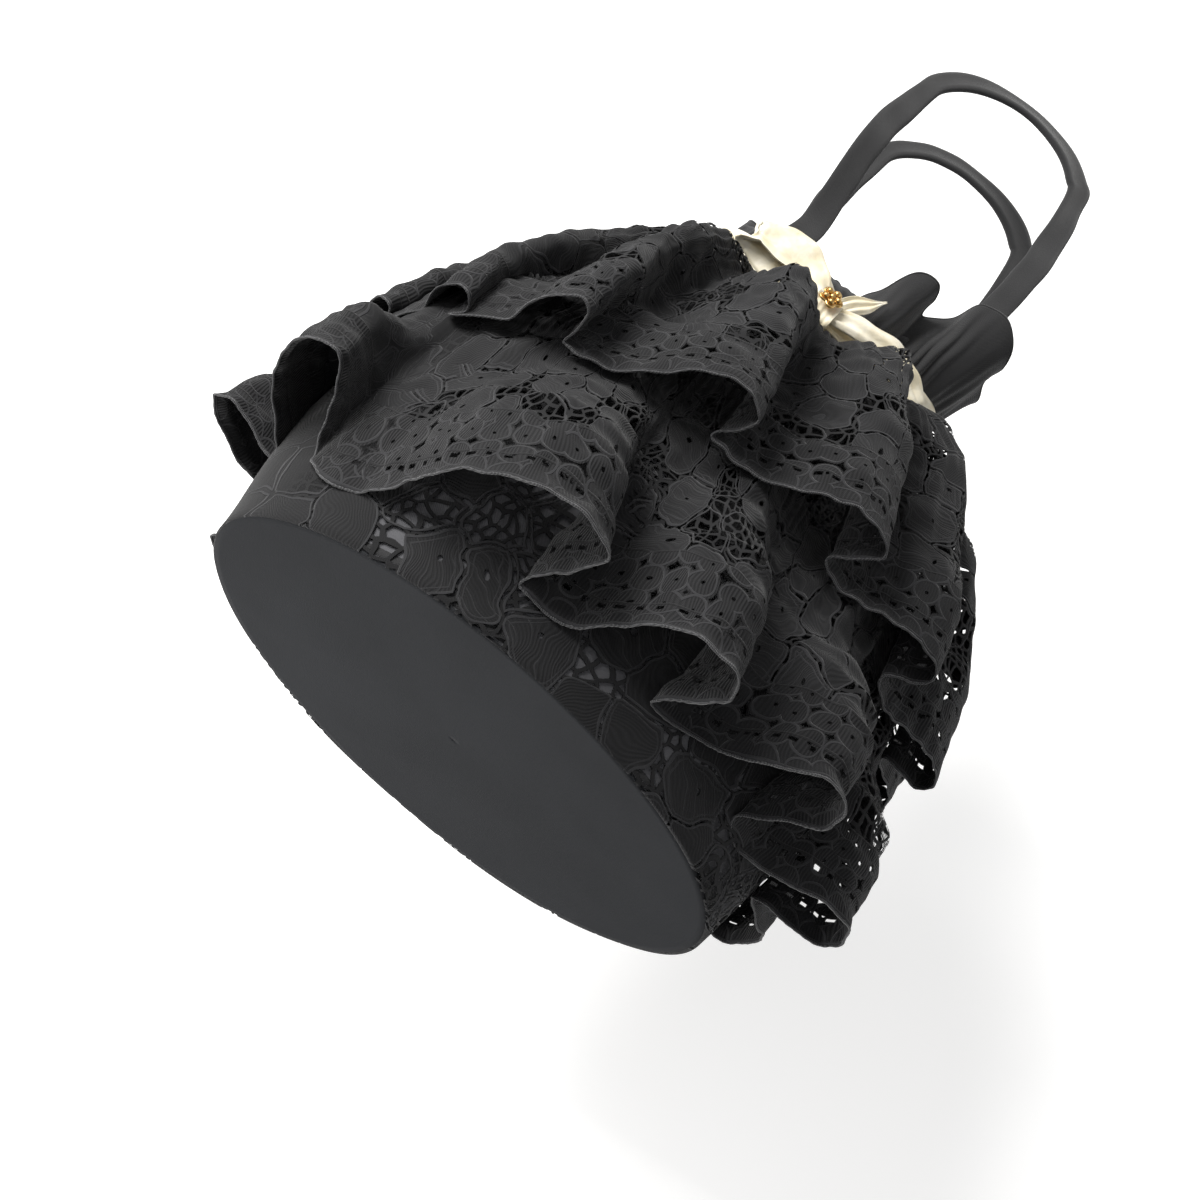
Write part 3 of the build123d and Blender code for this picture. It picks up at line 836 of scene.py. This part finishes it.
# ---------------------------------------------------------------- mouth frill and facing
# The frill's top edge in mm, anticlockwise from the back centre: where its cloth comes from round the neck
# (degrees), and how far that part stands from the middle (X, Y) and the base (Z)
MOUTH_EDGE = (
    (90, 4, 30, 338), (102, -10, 38, 343), (114, -22, 30, 339), (126, -36, 34, 343), (140, -44, 24, 339),
    (156, -56, 22, 341), (172, -64, 8, 339), (188, -63, -3, 333), (200, -52, -6, 328), (211, -48, -20, 324),
    (222, -36, -16, 320), (233, -30, -27, 318), (244, -18, -18, 315), (255, -9, -27, 314), (265, 1, -21, 314),
    (274, 8, -31, 319), (281, 19, -45, 335), (286, 29, -46, 338), (290, 33, -38, 337), (295, 34, -24, 336),
    (302, 46, -30, 344), (312, 53, -43, 349), (324, 66, -47, 348), (335, 77, -42, 342), (346, 81, -30, 339),
    (360, 79, -14, 341), (374, 83, 2, 343), (388, 74, 14, 339), (402, 70, 28, 343), (416, 52, 28, 339),
    (430, 40, 38, 343), (441, 22, 30, 339),
)


def hump(values, centre, width):
    """Smooth bump of height one round a centre."""
    return np.exp(-(((values - centre) / width) ** 2))


def mouth_edge(angles):
    """Points of the frill's top edge for angles round the neck."""
    degrees = np.array([row[0] for row in MOUTH_EDGE], float)
    places = np.array([row[1:] for row in MOUTH_EDGE], float) * MM
    degrees = np.concatenate([degrees[-2:] - 360, degrees, degrees[:2] + 360])
    places = np.concatenate([places[-2:], places, places[:2]])
    want = (np.degrees(angles) - 90) % 360 + 90
    index = np.clip(np.searchsorted(degrees, want) - 1, 1, len(degrees) - 3)
    share = ((want - degrees[index]) / (degrees[index + 1] - degrees[index]))[:, None]
    before, start, end, after = (places[index + step] for step in (-1, 0, 1, 2))
    return 0.5 * (2 * start + (end - before) * share + (2 * before - 5 * start + 4 * end - after) * share**2
                  + (3 * start - before - 3 * end + after) * share**3)


def frill_points(inset, low, high, rows, columns, seed):
    """Points of the frill: finely gathered at the ribbon and opening into soft folds at its top edge."""
    half_length, half_width = frill_size(neck_height)
    angles = even_angles(half_length, half_width, columns)
    edge = mouth_edge(angles)
    across = np.roll(edge, -1, axis=0) - np.roll(edge, 1, axis=0)
    side = np.stack([across[:, 1], -across[:, 0]], -1)
    side /= np.linalg.norm(side, axis=1)[:, None]
    edge[:, :2] -= side * inset
    fine_gather = wander(columns, seed, 70)
    ring, normal = oval_ring(half_length - inset, half_width - inset, angles)
    foot = settle(np.concatenate([ring, np.full((columns, 1), neck_height)], axis=1))
    points = np.empty((rows, columns, 3))
    for row, share in enumerate(np.linspace((high - neck_height) / (mouth_height - neck_height),
                                            (low - neck_height) / (mouth_height - neck_height), rows)):
        opening = share**0.85 if share > 0 else 0
        points[row] = foot + (edge - foot) * np.array([opening, opening, share])
        gather = fine_gather * 1.3 * MM * (1 - share) ** 0.7 * min(1, 0.3 + share * 4)
        points[row, :, :2] += normal * gather[:, None]
    return points


def make_frill():
    """The plain frill with its folded top edge, and the facing inside it."""
    points = ripple(frill_points(0.3 * MM, neck_height, mouth_height, 44, 640, 41), 43, 22 * MM, 0.9 * MM)
    piece = grid_mesh("frill_cloth", points, plain_cloth, thickness=0.8 * MM)
    rim = tube_mesh("frill_top_fold", points[0], 0.75 * MM, plain_cloth, sides=8)
    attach(rim, "bag")
    finish_cloth(piece, ["mouth_frill"])
    facing_low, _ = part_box("mouth_facing")
    inside = frill_points(2.4 * MM, facing_low.z, mouth_height - 1.0 * MM, 24, 420, 47)
    facing = grid_mesh("facing_cloth", inside, plain_cloth, thickness=0.7 * MM)
    finish_cloth(facing, ["mouth_facing"])


make_frill()


# ---------------------------------------------------------------- neck ribbon and bow
def neck_ribbon_band():
    """The ribbon drawn tightly round the neck, with lengthwise creases."""
    rows = 26
    columns = 480
    low = ribbon_low.z
    high = ribbon_high.z
    half_length = ribbon_high.x
    half_width = ribbon_high.y
    angles = even_angles(half_length, half_width, columns)
    degrees = np.degrees(angles)
    squeeze = 1 - 0.35 * hump(degrees, -8, 26) - 0.5 * hump(degrees, -90, 9)
    points = np.empty((rows, columns, 3))
    for row in range(rows):
        share = row / (rows - 1)
        wave = np.sin(share * TURN * 2.5 + wander(columns, 71, 6) * 1.6)
        crease = wander(columns, 61 + row // 5, 9) * 0.5 + wave
        bulge = 1.6 * MM * sin(pi * share) ** 0.6
        ring, normal = oval_ring(half_length - 0.3 * MM, half_width - 0.3 * MM, angles)
        points[row, :, :2] = ring + normal * (bulge + 0.7 * MM * crease * sin(pi * share) ** 0.5)[:, None]
        points[row, :, 2] = (low + high) / 2 + (0.5 - share) * (high - low) * squeeze
    piece = grid_mesh("neck_ribbon_band", settle(points), satin, thickness=0.35 * MM)
    return finish_cloth(piece, ["neck_ribbon"])


KNOT_PULL = np.array([-4.0, -4.0, -11.0]) * MM


def ribbon_strip(name, centre, across, width, folds, seed, columns=24, thickness=0.35 * MM, puff=0.0):
    """A strip of ribbon along a line; across is its width's direction and folds its pleat depth."""
    tangents = frames_along(centre, False)
    across = across - tangents * (across * tangents).sum(axis=1)[:, None]
    across /= np.linalg.norm(across, axis=1)[:, None]
    face = np.cross(tangents, across)
    share = np.linspace(-0.5, 0.5, columns)
    pleat = np.sin(share * TURN * 2.4 + 0.7)
    crown = 1 - 4 * share[:, None] ** 2
    points = (
        centre[None]
        + across[None] * (share[:, None] * width[None])[..., None]
        + face[None] * (pleat[:, None] * folds[None] + crown * np.broadcast_to(puff, width.shape))[..., None]
    )
    points = ripple(points, seed, 16 * MM, 0.7 * MM)
    uv = cloth_uv(points, closed=False)
    return grid_mesh(name, points, satin, closed=False, uv=uv, thickness=thickness)


def curve_through(points, count):
    """A smooth line through a few points, evenly spaced."""
    points = np.array(points, float)
    padded = np.concatenate([2 * points[:1] - points[1:2], points, 2 * points[-1:] - points[-2:-1]])
    line = []
    for index in range(1, len(padded) - 2):
        before, start, end, after = padded[index - 1:index + 3]
        for share in np.linspace(0, 1, 40, endpoint=False):
            line.append(0.5 * (2 * start + (end - before) * share
                               + (2 * before - 5 * start + 4 * end - after) * share**2
                               + (3 * start - before - 3 * end + after) * share**3))
    line.append(points[-1])
    line = np.array(line)
    along = np.concatenate([[0], np.cumsum(np.linalg.norm(np.diff(line, axis=0), axis=1))])
    want = np.linspace(0, along[-1], count)
    return np.stack([np.interp(want, along, line[:, axis]) for axis in range(3)], -1)


def knot_middle():
    """Middle of the visible knot, which is pulled in against the neck."""
    return np.array([(knot_low.x + knot_high.x) / 2, (knot_low.y + knot_high.y) / 2, neck_height]) + KNOT_PULL


def bow_loop(name, node, outline, tilt, widest, seed):
    """A loop of ribbon from the knot and back; outline is (along, back, up) in mm from the knot."""
    centre = knot_middle() + curve_through(outline, 110) * MM
    share = np.linspace(0, 1, len(centre))
    open_part = np.maximum(abs(np.sin(TURN * share)) ** 0.6, 0.66 * hump(share, 0.5, 0.22))
    width = 8 * MM + (widest - 8 * MM) * open_part
    folds = 1.6 * MM * (1 - open_part) + 0.35 * MM
    across = np.broadcast_to(np.array(tilt, float), centre.shape).copy()
    strip = ribbon_strip(name, settle(centre), across, width, folds, seed, puff=widest * 0.22 * open_part)
    return finish_cloth(strip, [node])


def bow_tail(name, node, route, lean, widest, tip, seed):
    """A tail of ribbon rising from the knot; route is in mm from it, tip its end's share of the width."""
    count = 44
    centre = knot_middle() + curve_through(route, count) * MM
    share = np.linspace(0, 1, count)
    width = 7 * MM + (widest - 7 * MM) * np.sin(np.minimum(1, share * 1.7) * pi / 2)
    width *= 1 - (1 - tip) * smooth_step(share, 0.55, 1.0)
    across = np.broadcast_to(np.array(lean, float), centre.shape).copy()
    strip = ribbon_strip(name, settle(centre), across, width, 1.4 * MM * (1 - share), seed, columns=18)
    return finish_cloth(strip, [node])


def knot_wrap():
    """The knot: a band of ribbon wrapped over the middle of the bow, gathered in upright creases."""
    middle = (knot_low + knot_high) / 2
    half = (knot_high - knot_low) / 2
    rows = 40
    columns = 60
    points = np.empty((rows, columns, 3))
    turn = np.linspace(0, TURN, columns, endpoint=False)
    for row in range(rows):
        share = row / (rows - 1)
        level = 2 * share - 1
        waist = 0.80 + 0.20 * level**2
        crease = 1 + 0.022 * sin(share * 30) + 0.03 * np.sin(turn * 3 + share * 9)
        points[row, :, 0] = middle.x + level * half.x
        points[row, :, 1] = middle.y + half.y * 0.92 * waist * crease * np.cos(turn)
        points[row, :, 2] = middle.z + half.z * 0.95 * waist * crease * np.sin(turn)
    wrap = grid_mesh("knot_wrap", settle(points + KNOT_PULL), satin, thickness=0.4 * MM)
    return finish_cloth(wrap, ["bow_knot"])


def ornament():
    """Gold-coloured flower: a rim, five cupped petals with a bead in each, and a bead in the middle."""
    low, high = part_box("ornament_setting")
    bead_low, bead_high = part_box("ornament_beads")
    middle = np.array([(low.x + high.x) / 2, low.y - 1 * MM, (low.z + high.z) / 2 - 3 * MM]) + KNOT_PULL
    radius = (high.x - low.x) * 0.47
    turn = np.linspace(0, TURN, 80, endpoint=False)
    pieces = []
    petal_edge = radius * (0.86 + 0.14 * np.cos(5 * turn))
    for inset, forward, thick in ((1.0, 0.0, 0.75 * MM), (0.62, 0.5 * MM, 0.5 * MM)):
        path = np.stack([middle[0] + petal_edge * inset * np.cos(turn),
                         np.full(80, middle[1] + 0.4 * MM - forward),
                         middle[2] + petal_edge * inset * np.sin(turn)], -1)
        pieces.append(tube_mesh("ornament_rim", path, thick, gold, sides=8))
    rings = np.linspace(1, 0.02, 14)[:, None]
    dish = np.empty((14, 80, 3))
    dish[..., 0] = middle[0] + petal_edge * rings * np.cos(turn)
    dish[..., 1] = middle[1] + 0.9 * MM * (1 - rings**2)
    dish[..., 2] = middle[2] + petal_edge * rings * np.sin(turn)
    pieces.append(grid_mesh("ornament_dish", dish, gold, thickness=0.6 * MM))
    setting = join("ornament_flower", pieces)
    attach(setting, "bag")
    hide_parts("ornament_setting")
    bead_radius = (bead_high.y - bead_low.y) / 2
    beads = []
    for index in range(6):
        away = 0 if index == 5 else radius * 0.6
        turn_to = TURN * index / 5
        place = (middle[0] + away * cos(turn_to), middle[1] - 0.7 * MM, middle[2] + away * sin(turn_to))
        bpy.ops.mesh.primitive_uv_sphere_add(radius=bead_radius, location=place, segments=24, ring_count=16)
        bead = bpy.context.object
        bead.data.materials.append(gold)
        bead.data.polygons.foreach_set("use_smooth", [True] * len(bead.data.polygons))
        beads.append(bead)
    drops = join("ornament_beading", beads)
    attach(drops, "bag")
    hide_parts("ornament_beads")


neck_ribbon_band()
knot_wrap()
bow_loop("bow_loop_tall", "bow_loop_left",
         ((-3, -1, 2), (-14, -5, 9), (-28, -6, 11), (-42, -4, 7), (-51, 0, 1), (-49, 4, 2),
          (-38, 6, 6), (-24, 6, 8), (-12, 5, 6), (-3, 3, 2)), (0.10, 0.05, 1.0), 27 * MM, 81)
bow_loop("bow_loop_low", "bow_loop_right",
         ((3, -1, 0), (20, -2, 4), (38, 1, 5), (54, 6, -1), (62, 11, -7), (59, 14, -6),
          (46, 9, 1), (30, 5, 4), (12, 4, 2), (3, 3, 0)), (0.10, 0.05, 1.0), 17 * MM, 83)
bow_tail("bow_tail_short", "bow_tail_left", ((-1, 2, 3), (-6, 1, 10), (-11, 3, 17), (-16, 6, 24)),
         (1.0, 0.1, 0.5), 18 * MM, 0.8, 85)
bow_tail("bow_tail_long", "bow_tail_right", ((1, 2, 3), (7, 0, 13), (13, 0, 23), (18, 2, 34)),
         (0.9, 0.1, -0.5), 10 * MM, 0.12, 87)
ornament()


# ---------------------------------------------------------------- handles
def handle_path(node):
    """The arch of one handle, from left to right, and the places that its legs are drawn from."""
    low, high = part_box(node)
    half = (high.x - low.x) / 2
    depth = (low.y + high.y) / 2
    leg_x = half - (high.y - low.y) * 1.5
    arch_height = high.z - half
    turn = np.linspace(pi, 0, 60)
    arch = np.stack([leg_x * np.cos(turn), np.full(60, depth), arch_height + leg_x * np.sin(turn)], -1)
    return low, leg_x, arch_height, depth, arch


def strap(name, node, core, side):
    """A handle: a soft cloth tube, flattened and creased, that runs from its sewn ends over the arch."""
    low, leg_x, arch_height, depth, arch = handle_path(node)
    bow_out = 3 * MM
    foot = mouth_height - 44 * MM
    left = [(-leg_x, depth, foot), (-leg_x, depth, mouth_height),
            (-leg_x - bow_out * 0.6, depth, low.z + 30 * MM),
            (-leg_x - bow_out, depth, (low.z + arch_height) / 2 + 12 * MM)]
    right = [(-x, y, z) for x, y, z in left[::-1]]
    path = curve_through(left + [tuple(p) for p in arch[::6]] + right, 260)
    share = np.linspace(0, 1, len(path))
    rise = smooth_step(path[:, 2], mouth_height, mouth_height + 60 * MM)
    width = 15 * MM * (1 - 0.18 * np.exp(-(((path[:, 2] - (arch_height + 8 * MM)) / (22 * MM)) ** 2)))
    thick = 4.2 * MM * (0.55 + 0.45 * rise)
    tangents = frames_along(path, False)
    face = np.tile(np.array([0.0, 1.0, 0.0]), (len(path), 1))
    across = np.cross(face, tangents)
    across /= np.linalg.norm(across, axis=1)[:, None]
    twist = radians(14) * np.sin(share * TURN * 1.5 + side) * rise
    turned = across * np.cos(twist)[:, None] + face * np.sin(twist)[:, None]
    facing = face * np.cos(twist)[:, None] - across * np.sin(twist)[:, None]
    sides = 40
    ring = np.linspace(0, TURN, sides, endpoint=False)
    flat_x = np.sign(np.cos(ring)) * abs(np.cos(ring)) ** 0.55
    flat_y = np.sign(np.sin(ring)) * abs(np.sin(ring)) ** 0.8
    groove = 1 - 0.30 * np.exp(-((np.cos(ring) / 0.30) ** 2))
    points = (path[:, None] + turned[:, None] * (flat_x[None] * width[:, None] / 2)[..., None]
              + facing[:, None] * (flat_y[None] * groove[None] * thick[:, None] / 2)[..., None])
    points = ripple(points, 91 + side, 30 * MM, 0.5 * MM)
    points = settle(points)
    # the feet follow the frill, which has fallen back on the left
    foot_pull = np.exp(-((np.maximum(points[..., 2] - mouth_height, 0) / (50 * MM)) ** 2))
    points[..., 0] += 5 * MM * foot_pull * (points[..., 0] < 0)
    pull = (13 * MM, 3 * MM) if depth < 0 else (-9 * MM, -7 * MM)
    points[..., 1] += foot_pull * np.where(points[..., 0] < 0, pull[0], pull[1])
    low_cap = points[:1].mean(axis=1, keepdims=True).repeat(sides, axis=1)
    high_cap = points[-1:].mean(axis=1, keepdims=True).repeat(sides, axis=1)
    points = np.concatenate([low_cap, points, high_cap])
    piece = grid_mesh(name, points, plain_cloth)
    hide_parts(node, core)
    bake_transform(piece)
    return piece


strap("front_strap", "front_handle", "front_handle_core", 0)
strap("back_strap", "back_handle", "back_handle_core", 1)


def handle_end_patch(node, name):
    """The sewn end of a strap: a folded patch on the facing with a stitched box and cross."""
    low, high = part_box(node)
    rows = 16
    inside = frill_points(4.6 * MM, low.z - 6 * MM, high.z - 8 * MM, rows, 360, 47)
    middle = inside[rows // 2, :, :2]
    aim = np.array([(low.x + high.x) / 2, (low.y + high.y) * 0.45])
    near = int(np.argmin(np.linalg.norm(middle - aim, axis=1)))
    order = (np.arange(-40, 41) + near) % 360
    along = np.cumsum(np.linalg.norm(np.diff(middle[order], axis=0, prepend=middle[order[:1]]), axis=1))
    points = inside[:, order[abs(along - along[40]) < 8 * MM]]
    outward = 1 if low.y + high.y > 0 else -1
    patch = grid_mesh(name, points, plain_cloth, closed=False, thickness=1.3 * MM)
    stitches = []
    corners = [points[1, 1], points[1, -2], points[-2, -2], points[-2, 1],
               points[1, 1], points[-2, -2], points[-2, 1], points[1, -2]]
    inward = np.array([0, -outward * 1.0 * MM, 0])
    for start, end in zip(corners[:-1], corners[1:]):
        count = max(2, int(np.linalg.norm(end - start) / (3 * MM)))
        for index in range(count):
            a = start + (end - start) * (index + 0.12) / count + inward
            b = start + (end - start) * (index + 0.88) / count + inward
            stitches.append(tube_mesh("stitch", np.linspace(a, b, 4), 0.25 * MM, thread,
                                      closed=False, sides=6))
    sewing = join(name + "_stitches", stitches)
    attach(sewing, "bag")
    finish_cloth(patch, [node])


for place in ("front_left", "front_right", "back_left", "back_right"):
    handle_end_patch("handle_end_" + place, "handle_end_" + place + "_patch")


# ---------------------------------------------------------------- stage, lights and camera
CAMERA_PLACE = Vector((27.1, -587.3, -307.0)) * MM
CAMERA_RIGHT = Vector((0.7616, -0.3489, 0.5461))
CAMERA_UP = Vector((-0.6474, -0.4471, 0.6172))


def make_camera():
    """The camera looks at the base from below and in front, tilted as the bag lies."""
    data = bpy.data.cameras.new("camera")
    data.lens = 50.0
    data.sensor_width = 36.0
    data.clip_start = 0.01
    data.clip_end = 20.0
    camera = bpy.data.objects.new("camera", data)
    right = CAMERA_RIGHT.normalized()
    back = right.cross(CAMERA_UP).normalized()
    up = back.cross(right)
    turn = Matrix((right, up, back)).transposed()
    camera.matrix_world = Matrix.Translation(CAMERA_PLACE) @ turn.to_4x4()
    bpy.context.scene.collection.objects.link(camera)
    bpy.context.scene.camera = camera
    return camera, right, up, back


def area_light(name, place, target, size, power, color=(1.0, 0.99, 0.97)):
    """A soft square lamp at a place, facing a target."""
    data = bpy.data.lights.new(name, "AREA")
    data.size = size
    data.energy = power
    data.color = color
    lamp = bpy.data.objects.new(name, data)
    lamp.location = place
    lamp.rotation_mode = "QUATERNION"
    lamp.rotation_quaternion = (Vector(target) - Vector(place)).to_track_quat("-Z", "Y")
    bpy.context.scene.collection.objects.link(lamp)
    return lamp


def stage_material(name, value, glow):
    """Pale backdrop, faintly lit from itself, that is seen from its front only."""
    n = Nodes(name)
    n.shader.inputs["Emission Color"].default_value = (1, 1, 1, 1)
    n.shader.inputs["Emission Strength"].default_value = glow
    patch = n.noise(n.place, 300 * MM, 2.0)["Fac"]
    warm = (value * 0.985, value * 0.98, value * 0.975, 1)
    color = n.mix(n.step(patch, 0.2, 0.8), (value, value, value, 1), warm)
    back = n.tree.nodes.new("ShaderNodeNewGeometry").outputs["Backfacing"]
    return n.finish(Base_Color=color, Roughness=0.9, Alpha=n.math("SUBTRACT", 1.0, back))


def stage_plane(name, place, normal, size, material):
    """A large flat sheet facing along its normal."""
    mesh = bpy.data.meshes.new(name)
    half = size / 2
    corners = [(-half, -half, 0), (half, -half, 0), (half, half, 0), (-half, half, 0)]
    mesh.from_pydata(corners, [], [(0, 1, 2, 3)])
    mesh.materials.append(material)
    plane = bpy.data.objects.new(name, mesh)
    plane.rotation_mode = "QUATERNION"
    plane.rotation_quaternion = Vector(normal).to_track_quat("Z", "Y")
    plane.location = place
    bpy.context.scene.collection.objects.link(plane)
    return plane


def make_stage():
    """Camera, floor, backdrop, lamps and a bright soft room."""
    camera, right, up, back = make_camera()
    centre = Vector((0, 0, 0.2))
    floor = stage_plane("stage_floor", (0, 0, base_low.z - 0.4 * MM), (0, 0, 1), 6.0,
                        stage_material("floor_pale", 0.85, 0.2))
    floor.visible_shadow = False
    floor.visible_diffuse = False
    floor.visible_glossy = False
    tilt = radians(50)
    table_normal = up * cos(tilt) + back * sin(tilt)
    table = stage_plane("stage_backdrop", centre - table_normal * 0.260, table_normal, 8.0,
                        stage_material("backdrop_pale", 0.8, 0.45))
    table.visible_diffuse = False
    area_light("lamp_key", centre + up * 1.2 + back * 0.6 - right * 0.45, centre, 0.8, 34)
    area_light("lamp_left", centre - right * 0.55 + back * 0.30 - up * 0.30, centre, 0.4, 3.0)
    area_light("lamp_behind", (-0.6, 1.4, 1.2), centre, 1.2, 14)
    world = bpy.data.worlds.new("studio")
    world.use_nodes = True
    world.node_tree.nodes["Background"].inputs[0].default_value = (1.0, 1.0, 1.0, 1)
    world.node_tree.nodes["Background"].inputs[1].default_value = 0.42
    bpy.context.scene.world = world
    bpy.context.scene.view_settings.view_transform = "Standard"
    return camera


make_stage()
